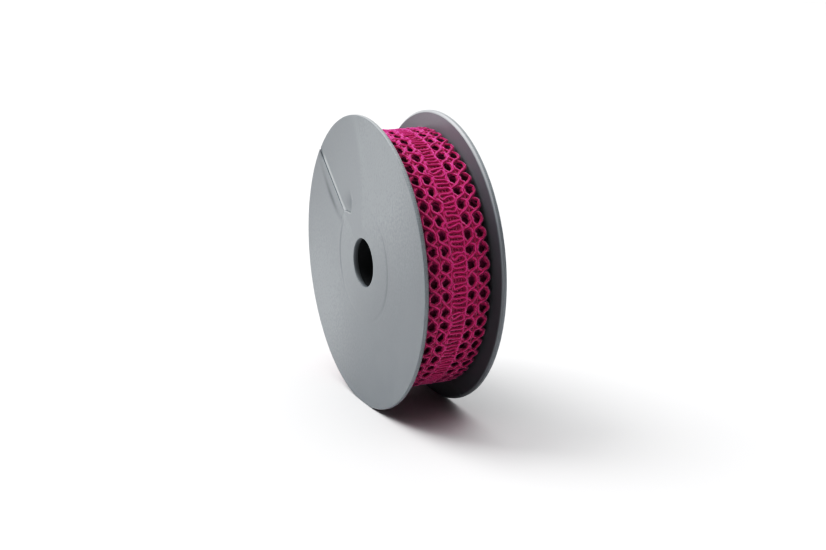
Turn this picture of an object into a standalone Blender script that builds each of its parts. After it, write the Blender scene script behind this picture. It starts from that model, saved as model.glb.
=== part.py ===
"""Reel of openwork lace trimming: two moulded flanges on a bored hub, with the lace wound between them.

The reel's axis lies along X, the front flange is towards -X, and +Z is up. The reel stands on the
small flat spots of its two rims, and the origin is on the floor under the middle of the reel.
Angles are measured round the axis from +Y, through +Z at 90 degrees. All sizes are in metres.
"""

from collections import namedtuple
from math import cos, pi, radians, sin

import bmesh
import bpy

# Reel
FLANGE_RADIUS = 0.0375
REEL_WIDTH = 0.0216
BORE_RADIUS = 0.00625
HUB_RADIUS = 0.0146
FLANGE_THICKNESS = 0.0012
RIM_BEVEL = 0.00015
INNER_CHAMFER_RADIAL = 0.0006
INNER_CHAMFER_DEPTH = 0.00045
DISH_DEPTH = 0.0005
FIT_GAP = 0.0003

# The rims are level between the two columns of points beside the lowest one
FLANGE_COLUMNS = 80
FLAT_HALF_ANGLE = 1.5 * 360.0 / FLANGE_COLUMNS
AXIS_HEIGHT = FLANGE_RADIUS * cos(radians(FLAT_HALF_ANGLE))

# Thread-catch slit of each flange: it runs straight in from the rim, then along the foot of its tongue in
# an arc that sags towards the bore. The tongue is bent inwards, and the lip beside it stands a little proud
SLIT_WIDTH = 0.0005
FRONT_SLIT_ANGLE = 42.5
REAR_SLIT_ANGLE = 244.0
SLIT_FOOT_RADIUS = 0.0162
SLIT_ARC_WIDTH = 0.0006
SLIT_ARC_ANGLE = 22.5
SLIT_ARC_SAG = 0.0022
SLIT_ARC_SKEW = 1.4
FOOT_RING = 1
TONGUE_ANGLE = 45.0
TONGUE_DEPTH = 0.0003
LIP_ANGLE = 8.0
LIP_HEIGHT = 0.0003

# Lace roll
EYELETS_ROUND = 56
STEPS_PER_EYELET = 4
LACE_MIDDLE_X = 0.0005
LACE_HALF_WIDTH = 0.0084
LACE_INNER_HALF_WIDTH = 0.0081
LACE_OUTER_RADIUS = 0.0337
LAYER_THICKNESS = 0.0009
LACE_END_ANGLE = 302.34
INNER_STEPS = 56
SCALLOP_DEPTH = 0.0003

# Across half of the lace, from its middle to its edge: place, and how deep the surface lies below the
# yarn tops beside an eyelet, a quarter of the pitch away, and half way to the next eyelet
LaceRow = namedtuple("LaceRow", "offset at_eyelet at_quarter between")
LACE_ROWS = (
    LaceRow(0.0, 0.00030, 0.00015, 0.00030),
    LaceRow(0.00175, 0.0, 0.0, 0.0),
    LaceRow(0.00325, 0.00110, 0.00070, 0.0),
    LaceRow(0.00500, 0.0, 0.00010, 0.00045),
    LaceRow(0.00660, 0.00110, 0.00070, 0.0),
    LaceRow(0.00775, 0.00010, 0.00025, 0.00050),
    LaceRow(LACE_HALF_WIDTH, 0.00035, 0.00060, 0.00090),
)

Finish = namedtuple("Finish", "colour roughness metallic")
REEL_FINISH = Finish((0.30, 0.31, 0.33), 0.42, 0.0)
HUB_FINISH = Finish((0.24, 0.25, 0.27), 0.50, 0.0)
LACE_FINISH = Finish((0.42, 0.02, 0.16), 0.75, 0.0)


def clear_scene():
    for item in list(bpy.data.objects):
        bpy.data.objects.remove(item, do_unlink=True)


def finished_material(name, finish):
    made = bpy.data.materials.new(name)
    made.use_nodes = True
    shader = made.node_tree.nodes["Principled BSDF"]
    shader.inputs["Base Color"].default_value = (*finish.colour, 1.0)
    shader.inputs["Roughness"].default_value = finish.roughness
    shader.inputs["Metallic"].default_value = finish.metallic
    made.diffuse_color = (*finish.colour, 1.0)
    return made


def add_piece(name, shape, material):
    """Turns a finished bmesh into a smooth-shaded object with sharp edges kept."""
    bmesh.ops.recalc_face_normals(shape, faces=shape.faces)
    mesh = bpy.data.meshes.new(name)
    shape.to_mesh(mesh)
    shape.free()
    mesh.materials.append(material)
    mesh.shade_smooth()
    mesh.set_sharp_from_angle(angle=radians(35.0))
    piece = bpy.data.objects.new(name, mesh)
    bpy.context.scene.collection.objects.link(piece)
    return piece


def round_axis(x, radius, degrees):
    """A point at this place along the axis, radius and angle, never lower than the floor."""
    turn = radians(degrees)
    height = AXIS_HEIGHT + radius * sin(turn)
    return (x, radius * cos(turn), max(height, 0.0))


def angle_past(start, degrees):
    """How far an angle lies past a start, from -180 up to 180 degrees."""
    return (degrees - start + 180.0) % 360.0 - 180.0


class Flange:
    """One moulded flange: a dished disc built from rings of cells, with the cells of its slit left out."""

    def __init__(self, outward, slit_angle, slit_turn):
        self.outward = outward
        self.slit_angle = slit_angle
        self.slit_turn = slit_turn
        self.outer_x = outward * REEL_WIDTH / 2
        self.slit_half = 0.5 * 360.0 * SLIT_WIDTH / (2 * pi * FLANGE_RADIUS)
        self.radii = self.ring_radii()
        self.offsets = self.column_offsets()

    def ring_radii(self):
        """The rings from the bore to the rim. Ring FOOT_RING is the inner edge of the slit's arc."""
        arc_outside = SLIT_FOOT_RADIUS + SLIT_ARC_WIDTH
        chamfer_start = FLANGE_RADIUS - INNER_CHAMFER_RADIAL
        rim_start = FLANGE_RADIUS - RIM_BEVEL
        middle = (arc_outside + chamfer_start) / 2
        return (
            BORE_RADIUS,
            SLIT_FOOT_RADIUS,
            arc_outside,
            middle,
            chamfer_start,
            rim_start,
            FLANGE_RADIUS,
        )

    def column_offsets(self):
        """Columns as angles past the slit: even ones all round, closer ones beside the slit."""
        step = 360.0 / FLANGE_COLUMNS
        first = (270.0 - step / 2 - self.slit_angle) % step
        even = [first + step * count for count in range(FLANGE_COLUMNS)]
        signed = [angle_past(0.0, offset) * self.slit_turn for offset in even]
        beside = [-self.slit_half, self.slit_half, -LIP_ANGLE, -LIP_ANGLE / 2, SLIT_ARC_ANGLE]
        apart = step / 3
        kept = [s for s in signed if min(abs(s - near) for near in beside) > apart]
        return sorted(kept + beside)

    def dish(self, radius):
        """How far the flange leans inwards: most and level at the hub, none at the rim."""
        share = (FLANGE_RADIUS - radius) / (FLANGE_RADIUS - SLIT_FOOT_RADIUS)
        return DISH_DEPTH * min(max(share, 0.0), 1.0)

    def bend(self, radius, offset):
        """How far the slit's tongue is bent inwards or its lip stands outwards here."""
        if radius <= SLIT_FOOT_RADIUS:
            return 0.0
        reach = (radius - SLIT_FOOT_RADIUS) / (FLANGE_RADIUS - SLIT_FOOT_RADIUS)
        if 0.0 < offset < TONGUE_ANGLE:
            fall = 1.0 - offset / TONGUE_ANGLE
            return TONGUE_DEPTH * reach**0.5 * fall
        if -LIP_ANGLE < offset < 0.0:
            rise = 1.0 + offset / LIP_ANGLE
            return -min(LIP_HEIGHT, self.dish(radius)) * rise * rise
        return 0.0

    def sag(self, ring, offset):
        """How far the two rings beside the slit's arc sag towards the bore, most near the arc's middle."""
        if ring not in (FOOT_RING, FOOT_RING + 1) or not 0.0 < offset < SLIT_ARC_ANGLE:
            return 0.0
        return SLIT_ARC_SAG * sin(pi * (offset / SLIT_ARC_ANGLE) ** SLIT_ARC_SKEW)

    def corner(self, ring, column, on_outside):
        offset = self.offsets[column % len(self.offsets)]
        radius = self.radii[ring] - self.sag(ring, offset)
        depth = self.dish(radius) + self.bend(radius, offset)
        last = len(self.radii) - 1
        if on_outside:
            depth += RIM_BEVEL if ring == last else 0.0
        else:
            depth += FLANGE_THICKNESS
            if ring >= last - 1:
                depth -= INNER_CHAMFER_DEPTH
        turned = self.slit_angle + self.slit_turn * offset
        return round_axis(self.outer_x - self.outward * depth, radius, turned)

    def is_open(self, band, column):
        """The cells left out: the slit, and its arc along the tongue's foot."""
        start = self.offsets[column]
        end = self.offsets[(column + 1) % len(self.offsets)]
        if end < start:
            return False
        middle = (start + end) / 2
        if abs(middle) < self.slit_half:
            return band >= FOOT_RING
        return band == FOOT_RING and 0.0 < middle < SLIT_ARC_ANGLE

    def build(self):
        shape = bmesh.new()
        columns = len(self.offsets)
        bands = len(self.radii) - 1
        outside = {}
        inside = {}
        for ring in range(bands + 1):
            for column in range(columns):
                outside[ring, column] = shape.verts.new(self.corner(ring, column, True))
                inside[ring, column] = shape.verts.new(self.corner(ring, column, False))

        def wall(first, second):
            shape.faces.new((outside[first], outside[second], inside[second], inside[first]))

        for column in range(columns):
            after = (column + 1) % columns
            before = (column - 1) % columns
            for band in range(bands):
                if self.is_open(band, column):
                    continue
                cell = ((band, column), (band + 1, column), (band + 1, after), (band, after))
                shape.faces.new([outside[key] for key in cell])
                shape.faces.new([inside[key] for key in reversed(cell)])
                if band == 0 or self.is_open(band - 1, column):
                    wall(cell[0], cell[3])
                if band == bands - 1 or self.is_open(band + 1, column):
                    wall(cell[1], cell[2])
                if self.is_open(band, before):
                    wall(cell[0], cell[1])
                if self.is_open(band, after):
                    wall(cell[3], cell[2])
        loose = [vert for vert in shape.verts if not vert.link_faces]
        bmesh.ops.delete(shape, geom=loose, context="VERTS")
        return shape


def hub_shape():
    """The core between the flanges, turned round the axis from a closed section."""
    end = REEL_WIDTH / 2 - DISH_DEPTH - FLANGE_THICKNESS - FIT_GAP
    section = ((-end, BORE_RADIUS), (-end, HUB_RADIUS), (end, HUB_RADIUS), (end, BORE_RADIUS))
    shape = bmesh.new()
    corners = [shape.verts.new(round_axis(x, radius, 0.0)) for x, radius in section]
    edges = [shape.edges.new((corners[i], corners[i - 1])) for i in range(len(corners))]
    bmesh.ops.spin(
        shape,
        geom=corners + edges,
        cent=(0.0, 0.0, AXIS_HEIGHT),
        axis=(1.0, 0.0, 0.0),
        angle=2 * pi,
        steps=FLANGE_COLUMNS // 2,
        use_merge=True,
    )
    return shape


def lace_surface_rows():
    """The rows across the whole lace, mirrored about its middle, from the front edge to the rear edge."""
    front = [row._replace(offset=-row.offset) for row in reversed(LACE_ROWS[1:])]
    return front + list(LACE_ROWS)


def lace_depth(row, step):
    phase = step % STEPS_PER_EYELET
    return (row.between, row.at_quarter, row.at_eyelet, row.at_quarter)[phase]


def add_split_along_yarn(shape, corners, depths):
    """Splits a four-sided patch of the lace along its higher diagonal, where the yarn runs."""
    a, b, c, d = corners
    if depths[0] + depths[2] <= depths[1] + depths[3]:
        halves = ((a, b, c), (a, c, d))
    else:
        halves = ((a, b, d), (b, c, d))
    for half in halves:
        shape.faces.new(half)


def lace_roll_shape():
    """The wound lace as one ring. Its outer face is a one-layer spiral that ends in a step at the lace's
    end, and carries the eyelets, the posts between them, the ladder down the middle and scalloped edges."""
    rows = lace_surface_rows()
    steps = EYELETS_ROUND * STEPS_PER_EYELET
    shape = bmesh.new()
    outer = []
    for step in range(steps + 1):
        share = step / steps
        degrees = LACE_END_ANGLE + 360.0 * share
        top = LACE_OUTER_RADIUS - LAYER_THICKNESS * share
        column = []
        for index, row in enumerate(rows):
            at_edge = index in (0, len(rows) - 1)
            drawn_in = SCALLOP_DEPTH if at_edge and step % STEPS_PER_EYELET == 0 else 0.0
            offset = row.offset - drawn_in * (1 if row.offset > 0 else -1)
            radius = top - lace_depth(row, step)
            column.append(shape.verts.new(round_axis(LACE_MIDDLE_X + offset, radius, degrees)))
        outer.append(column)
    for step in range(steps):
        for row in range(len(rows) - 1):
            patch = ((step, row), (step, row + 1), (step + 1, row + 1), (step + 1, row))
            corners = [outer[at_step][at_row] for at_step, at_row in patch]
            depths = [lace_depth(rows[at_row], at_step) for at_step, at_row in patch]
            add_split_along_yarn(shape, corners, depths)
    first, last = outer[0], outer[-1]
    for row in range(len(rows) - 1):
        shape.faces.new((last[row], last[row + 1], first[row + 1], first[row]))

    inner_radius = HUB_RADIUS + FIT_GAP
    inner = []
    for step in range(INNER_STEPS):
        degrees = LACE_END_ANGLE + 360.0 * step / INNER_STEPS
        pair = [
            shape.verts.new(round_axis(LACE_MIDDLE_X + side * LACE_INNER_HALF_WIDTH, inner_radius, degrees))
            for side in (-1, 1)
        ]
        inner.append(pair)
    for step in range(INNER_STEPS):
        here, beyond = inner[step], inner[(step + 1) % INNER_STEPS]
        shape.faces.new((here[0], here[1], beyond[1], beyond[0]))

    per_inner = steps // INNER_STEPS
    for side, row in ((0, 0), (1, len(rows) - 1)):
        for step in range(INNER_STEPS):
            here, beyond = inner[step][side], inner[(step + 1) % INNER_STEPS][side]
            start = step * per_inner
            middle = start + per_inner // 2
            for count in range(start, middle):
                shape.faces.new((here, outer[count][row], outer[count + 1][row]))
            shape.faces.new((here, outer[middle][row], beyond))
            for count in range(middle, start + per_inner):
                shape.faces.new((beyond, outer[count][row], outer[count + 1][row]))
        shape.faces.new((inner[0][side], outer[-1][row], outer[0][row]))
    return shape


def main():
    clear_scene()
    reel = finished_material("reel_plastic", REEL_FINISH)
    core = finished_material("hub_plastic", HUB_FINISH)
    lace = finished_material("lace_yarn", LACE_FINISH)
    front = Flange(outward=-1, slit_angle=FRONT_SLIT_ANGLE, slit_turn=1)
    rear = Flange(outward=1, slit_angle=REAR_SLIT_ANGLE, slit_turn=-1)
    add_piece("flange_front", front.build(), reel)
    add_piece("flange_rear", rear.build(), reel)
    add_piece("hub", hub_shape(), core)
    add_piece("lace_roll", lace_roll_shape(), lace)


main()
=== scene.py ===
"""Finish of a roll of magenta lace trimming on its satin grey moulded reel.

The reel's axis lies along X, the front flange is towards -X, and +Z is up. Angles are measured round the
axis from +Y, through +Z at 90 degrees. All sizes are in metres unless a name says otherwise.
"""

from collections import namedtuple
from math import radians, tau

import bmesh
import bpy
import numpy as np
from bpy.props import FloatProperty, FloatVectorProperty, IntProperty, PointerProperty
from mathutils import Matrix, Vector


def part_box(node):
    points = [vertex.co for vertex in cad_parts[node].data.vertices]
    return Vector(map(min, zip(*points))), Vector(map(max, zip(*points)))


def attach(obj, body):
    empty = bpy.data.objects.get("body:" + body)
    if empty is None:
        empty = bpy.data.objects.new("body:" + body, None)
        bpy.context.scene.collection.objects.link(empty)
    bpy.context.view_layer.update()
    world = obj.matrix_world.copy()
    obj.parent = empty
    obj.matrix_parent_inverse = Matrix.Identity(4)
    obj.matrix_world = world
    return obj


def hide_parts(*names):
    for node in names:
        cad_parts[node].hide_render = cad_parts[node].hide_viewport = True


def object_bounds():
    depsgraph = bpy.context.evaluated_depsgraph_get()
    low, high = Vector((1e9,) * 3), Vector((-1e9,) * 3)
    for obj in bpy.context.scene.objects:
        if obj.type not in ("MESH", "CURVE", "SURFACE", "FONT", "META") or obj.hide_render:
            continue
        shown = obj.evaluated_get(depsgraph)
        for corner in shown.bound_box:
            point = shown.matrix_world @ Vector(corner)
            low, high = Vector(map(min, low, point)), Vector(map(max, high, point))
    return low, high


bl_info = {
    "name": "Lace Trimming Reel",
    "version": (1, 0, 0),
    "blender": (4, 5, 0),
    "location": "View3D > Sidebar > Lace reel",
    "description": "Builds a wound roll of openwork lace and the moulded reel that holds it",
    "category": "Add Mesh",
}

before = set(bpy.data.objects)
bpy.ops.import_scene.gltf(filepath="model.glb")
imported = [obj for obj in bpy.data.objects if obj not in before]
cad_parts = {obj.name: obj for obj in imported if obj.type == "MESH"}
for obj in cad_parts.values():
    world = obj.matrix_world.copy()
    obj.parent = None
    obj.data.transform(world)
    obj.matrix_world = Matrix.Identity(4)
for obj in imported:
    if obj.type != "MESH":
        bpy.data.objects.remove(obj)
CAD_LOW, CAD_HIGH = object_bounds()

# Places taken from the fixed model
HUB_LOW, HUB_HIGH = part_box("hub")
LACE_LOW, LACE_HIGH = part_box("lace_roll")
AXIS_HEIGHT = (HUB_LOW.z + HUB_HIGH.z) / 2
HUB_RADIUS = (HUB_HIGH.z - HUB_LOW.z) / 2
REEL_HALF_WIDTH = (CAD_HIGH.x - CAD_LOW.x) / 2
LACE_MIDDLE_X = (LACE_LOW.x + LACE_HIGH.x) / 2
CAD_DIAMETER = CAD_HIGH.y - CAD_LOW.y
MM = 0.001

# The net between the ladder and one edge, over one pitch from a crossing row to the next: how far along
# the lace each point lies, and how far each of the four strands is from the lace's middle there
NetRow = namedtuple("NetRow", "along border post_inner post_outer edge")
NET_PITCH = 3.7
NET_ROWS = (
    NetRow(0.00, 3.40, 3.40, 6.45, 6.45),
    NetRow(0.55, 2.55, 4.15, 5.70, 7.20),
    NetRow(1.15, 1.95, 4.72, 5.18, 7.80),
    NetRow(1.85, 1.78, 4.66, 5.24, 7.98),
    NetRow(2.55, 1.95, 4.72, 5.18, 7.80),
    NetRow(3.15, 2.55, 4.15, 5.70, 7.20),
)
SMALL_EYELET_PUSH = 0.4
CROSSING_LIFT = 0.17

# Four threads of the net, each by the strand it follows in one pitch and in the next
NET_PAIRS = (
    ("border", "post_inner"),
    ("post_inner", "border"),
    ("post_outer", "edge"),
    ("edge", "post_outer"),
)

# The ladder's one thread runs to and fro. A rung crosses at this place along a repeat of two pitches,
# sways by this much from its near end to its far end, and ends in a bend this far from the middle. The
# repeats start this many pitches after an even crossing row
Rung = namedtuple("Rung", "along sway bend_along bend_across")
LADDER_RUNGS = (
    Rung(0.30, 0.00, 0.90, 1.86),
    Rung(1.50, 0.05, 2.10, 1.70),
    Rung(2.70, 0.00, 3.50, 1.90),
    Rung(4.30, 0.10, 4.78, 1.80),
    Rung(5.25, -0.35, 5.95, 1.92),
    Rung(6.60, 0.05, 7.14, 1.70),
)
RUNG_REACH = 1.30
BEND_LIFT = 0.10
LADDER_START = 1.5

# A loose curl beside the ladder, once in each repeat, on its front side: along, across, lift
CURL_POINTS = (
    (4.20, -1.55, -0.05),
    (4.32, -2.25, 0.12),
    (4.62, -2.80, 0.20),
    (5.05, -3.00, 0.16),
    (5.50, -2.75, 0.14),
    (5.95, -2.25, 0.18),
    (6.40, -1.80, 0.16),
    (6.80, -1.50, -0.05),
)

# Straight threads beside the ladder and behind the posts: across, lift, strength of the ridge's painted
# highlight. They have a point at each of these shares of a pitch
StraightThread = namedtuple("StraightThread", "across lift ridge")
STRAIGHT_THREADS = (
    StraightThread(0.42, -0.34, 0.0),
    StraightThread(1.22, -0.34, 0.0),
    StraightThread(2.0, -0.08, 0.8),
    StraightThread(4.95, -0.24, 0.1),
)
STRAIGHT_STEP = 0.25

# A thread of the lace: its points along, across and above the flat lace in mm, and the strength of its
# ridge's painted highlight
Thread = namedtuple("Thread", "points ridge")

# Slow unevenness of the hand of the lace: size in mm, pitches in one wave, and how the wave leans across.
# It would vanish at this distance from the middle, in mm. Along the lace its waves are a little shorter
Waver = namedtuple("Waver", "size pitches lean")
WAVERS = (Waver(0.11, 2.37, 0.9), Waver(0.09, 3.91, -0.6), Waver(0.08, 1.43, 1.7))
WAVER_REACH = 14.0
WAVER_HASTE = 1.13

# How far a strand of the net strays at each of its points, in mm
HAND_SLACK = 0.09
HAND_SEED = 40

# The section of a thread: a wide soft body with a ridge along its top, which takes a painted highlight. Each
# point of its one half has its place beside the middle and above it, in mm, and how much of the ridge's
# painted highlight colour it takes
SectionPoint = namedtuple("SectionPoint", "beside above ridge")
HALF_SECTION = (
    SectionPoint(0.00, 0.26, 1.0),
    SectionPoint(0.11, 0.22, 0.8),
    SectionPoint(0.19, 0.09, 0.1),
    SectionPoint(0.45, 0.00, 0.0),
    SectionPoint(0.47, -0.12, 0.0),
    SectionPoint(0.22, -0.24, 0.0),
    SectionPoint(0.00, -0.26, 0.0),
)
YARN_SECTION = HALF_SECTION + tuple(point._replace(beside=-point.beside) for point in HALF_SECTION[-2:0:-1])
YARN_HALF_HEIGHT = HALF_SECTION[0].above * MM

# The yarn is twisted of this many plies, which swell its section by this share, and each thread's ends
# are narrowed to the last share
PLIES = 2
TWIST_SWELL = 0.10
END_SHARE = 0.45

# Painted shade of the flanges dims the ridge's painted highlight along the lace's edges: from where to where
# it dims, in mm from the middle, and how far
EDGE_DIMS = (5.6, 8.0)
EDGE_DIMMING = 0.55

# Tone and sheen of the yarn, from the outer turn to the close winding. The darker tones of the deeper turns
# are painted shade
YarnLook = namedtuple("YarnLook", "tone sheen")
OUTER_YARN = YarnLook(1.0, 0.9)
SECOND_YARN = YarnLook(1.0, 0.15)
THIRD_YARN = YarnLook(0.95, 0.15)
CLOSE_YARN = YarnLook(0.9, 0.0)

# How far each open turn below slips against the turn above it, as a share of a pitch
TURN_SLIP = 0.2

# The close winding: how many turns lie above it, how far its sides stay in from the lace's edges, how far
# it starts off the hub, how deep the lines between its layers are, its outer corner, and its unevenness
TURNS_ABOVE_WINDING = 2.8
WINDING_INSET = 0.10 * MM
WINDING_OFF_HUB = 0.3 * MM
WINDING_GROOVE = 0.25 * MM
WINDING_CORNER = 0.3 * MM
WINDING_UNEVEN = 0.05 * MM
WINDING_SEED = 11

# Colour effects on the yarn: how far painted shade in the grooves and the slow change of the dye darken it,
# the change's middle, its least roughness and what the dye adds, the fibres' share of its height, that
# height, and its sheen
GROOVE_DARKENING = 0.2
DYE_DARKENING = 0.5
DYE_MIDDLE = 0.4
YARN_ROUGHNESS = 0.45
DYE_ROUGHENING = 0.2
FIBRE_SHARE = 0.25
FIBRE_DEPTH = 0.00006
SHEEN_ROUGHNESS = 0.30
SHEEN_TINT = (1.0, 0.50, 0.75)

# Thread-catch slits: where each runs in, and the way that its tongue lies. At its foot a slit turns into
# an arc along the tongue's tip, which sags towards the bore. The tip is pressed in a little
Slit = namedtuple("Slit", "angle turn")
FRONT_SLIT = Slit(42.5, 1)
REAR_SLIT = Slit(244.0, -1)
SLIT_FOOT_RADIUS = 16.5 * MM
ARC_HALF_WIDTH = 0.04 * MM
ARC_SPAN = 22.5
ARC_SAG = 2.6 * MM
ARC_SKEW = 1.4
ARC_SAG_STARTS = 11.6 * MM
ARC_SAG_ENDS = 23.0 * MM
TIP_DEPTH = 0.30 * MM
TIP_REACH = 1.9 * MM
TONGUE_SPAN = 42.0
TONGUE_SPREAD = 12.0
TONGUE_SOFTNESS = 0.1
NOTCH_DEPTH = 1.8 * MM
NOTCH_HALF_WIDTH = 0.42 * MM

# Parts of a flange between two soft edges, in degrees past the slit. Each edge is given from where the
# part is 0 to where it is 1: the tongue's tip, the pressed tongue without grain, the face line's gap
TIP_PART = ((0.0, 5.0), (ARC_SPAN + 2.5, ARC_SPAN - 2.5))
PRESSED_PART = ((1.0, 3.0), (52.0, 42.0))
FACE_LINE_GAP = ((-8.0, -3.0), (ARC_SPAN + 12.0, ARC_SPAN))

# The lip beside the slit ends in a ramp, which lies further from the slit the nearer it is to the bore.
# The larger the last two are, the sooner the lip is at its height past the slit's foot and the rim
RAMP_AT_RIM = 1.5
RAMP_SPREAD = 14.0
RAMP_CURVE = 3.8
RAMP_HALF_WIDTH = 0.9 * MM
LIP_RISE_AT_FOOT = 3.0
LIP_RISE_AT_RIM = 12.0

# The mesh of a flange: steps between its even rings and even columns and the least gap beside closer ones,
# and the closer columns on the ramp and along the arc, as from, to and step. Columns are in degrees
RING_STEP = 0.7 * MM
LEAST_RING_GAP = 0.15 * MM
COLUMN_STEP = 1.5
LEAST_COLUMN_GAP = 0.7
RAMP_COLUMNS = (-16.0, -0.9, 0.5)
ARC_COLUMNS = (1.6, ARC_SPAN - 0.4, 0.9)

# The columns at the slit's edge and next to it. The first follows the edge, and the second moves out of
# its way where the edge lies further out than this
EDGE_COLUMN = 0.2
NEXT_COLUMN = 0.6
NEXT_COLUMN_MOVE = 0.7
NEXT_COLUMN_STAYS = 0.4

# Rounding of the bore's outer edge
BORE_ROUNDING = 0.15 * MM

# Painted shade in the crease along the ramp: it comes in between two radii, and is twice as dark round a
# third one
CREASE_HALF_WIDTH = 0.95 * MM
CREASE_COMES_IN = (12.5 * MM, 22.5 * MM)
CREASE_DARKEST = 25.0 * MM
CREASE_REACH = 5.0 * MM
CREASE_DARKNESS = 0.45

# The shade in the rim's notch: from where to where it comes in below the rim, half spread, darkness
NOTCH_SHADE_DEPTHS = (4.5 * MM, 1.5 * MM)
NOTCH_SHADE_SPREAD = 1.4
NOTCH_DARKNESS = 0.9

# A soft spot on a face: its angle and half spread in degrees, its radius and half reach, and its strength
Spot = namedtuple("Spot", "angle spread radius reach strength")

# Where the mould's grain shows most on the faces, by the angle round the axis
GRAIN_SPOTS = (
    Spot(118.0, 46.0, 26.0 * MM, 16.0 * MM, 1.0),
    Spot(328.0, 38.0, 30.0 * MM, 12.0 * MM, 0.8),
    Spot(75.0, 50.0, 13.0 * MM, 6.0 * MM, 0.7),
)

# The painted shade on the tongue's tip and the painted highlight along a streak at the slit's foot, by the
# angle past the slit
TIP_SHADE = Spot(14.0, 7.0, 18.2 * MM, 1.6 * MM, 0.35)
FOOT_STREAK = Spot(-5.0, 3.0, 16.0 * MM, 1.6 * MM, 0.4)

# A faint turned line of the mould on each face, and where round the axis painted shade shows it as a darker
# line
FACE_LINE_RADIUS = 15.2 * MM
FACE_LINE_DEPTH = 0.05 * MM
FACE_LINE_HALF_WIDTH = 0.42 * MM
FaceLineArc = namedtuple("FaceLineArc", "angle half_span strength")
FACE_LINE_ARCS = (FaceLineArc(178.0, 40.0, 0.35), FaceLineArc(2.0, 30.0, 0.5))

# The painted highlight of the slit's lit edge fades out between two shares of its width, and between two
# depths below the rim. It is narrower and weaker on the bore's side of the arc, and fades out along it
SLIT_HIGHLIGHT_FADES_BESIDE = (1.35, 0.6)
SLIT_HIGHLIGHT_FADES_BELOW_RIM = (1.0 * MM, 5.0 * MM)
ARC_HIGHLIGHT_WIDTH = 7 * ARC_HALF_WIDTH
ARC_HIGHLIGHT_STRENGTH = 0.55
ARC_HIGHLIGHT_FADES = (ARC_SPAN * 0.9, ARC_SPAN * 0.4)

# A painted highlight pales the satin face along a broad band, which crosses it above and behind the bore. It
# fades faster towards the foot of the face than towards the top
BAND_DIRECTION = (0.714, 0.70)
BAND_PLACE = 10.4 * MM
BAND_FADES_DOWN = 22.0 * MM
BAND_FADES_UP = 30.0 * MM
BAND_PALENESS = 0.85

# A painted highlight on the fold where the tongue starts to bend: half spread, radii between which it comes
# in, paleness
FOLD_SPREAD = 3.0
FOLD_COMES_IN = (24.0 * MM, 30.0 * MM)
FOLD_PALENESS = 0.25

# Painted light makes the rim paler than the faces, outside and inside. What lies this close to the flange's
# full radius counts as the rim
RIM_BAND = 0.02 * MM
RIM_PALENESS = 0.7
INNER_RIM_PALENESS = 0.5

# Where round the axis the inner sides and their bevels get the most painted light, and how it fades to either
# side; away from it the inner sides get painted shade. The bevels get a painted highlight a little
# everywhere, and by the added share where the painted light is most
INSIDE_PALEST = 100.0
INSIDE_SPREAD = 48.0
BEVEL_HIGHLIGHT = 0.1
BEVEL_HIGHLIGHT_ADDED = 0.8

# Colour effects on the plastic: its least grain, how far the clouds and specks of the grain pale it, the
# level a speck has to pass, as a share of the grain and a fixed part, what the clouds add to its roughness,
# and the fine ribs round the rim and their share of the grain's height
LEAST_GRAIN = 0.12
CLOUD_PALING = 0.5
SPECK_PALING = 1.8
SPECK_LEVEL_SHARE = 0.5
SPECK_LEVEL = 0.16
CLOUD_ROUGHENING = 0.16
RIM_RIBS = 470
RIB_SHARE = 0.35

# Roughness and depth of grain of the flanges and of the hub's bore
PlasticLook = namedtuple("PlasticLook", "roughness grain_depth")
FLANGE_LOOK = PlasticLook(0.42, 0.00006)
HUB_LOOK = PlasticLook(0.5, 0.00002)

# Floor: half its side, the tone of its dimmer patches and how many of them there are to a metre
FLOOR_HALF = 3.0
FLOOR_DIM = 0.985
FLOOR_PATCHES = 9.0

# Light: the way to the soft light and to the backdrop, and how fast the surroundings fade away from
# straight above and from the backdrop
TOWARDS_KEY = (-0.41, 0.50, 0.76)
TOWARDS_BACKDROP = (0.42, 0.88, 0.22)
SKY_POWER = 4.0
BACKDROP_POWER = 6.0

# Camera
IMAGE_WIDTH = 826
FOCAL_PIXELS = 1400
CAMERA_PLACE = (-0.14521, -0.31749, 0.12336)
CAMERA_BACK = (-0.41109839, -0.87641783, 0.25077859)
CAMERA_RIGHT = (0.90534873, -0.42466891, 0.0)
CAMERA_SENSOR = 36.0

# The contrast of the picture: darker tones are pressed down and paler ones lifted, as from, to
CONTRAST_POINTS = (
    (0.026, 0.0110),
    (0.080, 0.0395),
    (0.171, 0.1270),
    (0.328, 0.3420),
    (0.515, 0.5650),
    (0.753, 0.7990),
)
COMBINED_CURVE = 3


def length_prop(name, description, default):
    return FloatProperty(name=name, description=description, default=default, unit="LENGTH")


def colour_prop(name, description, default):
    return FloatVectorProperty(name=name, description=description, default=default, subtype="COLOR")


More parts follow.
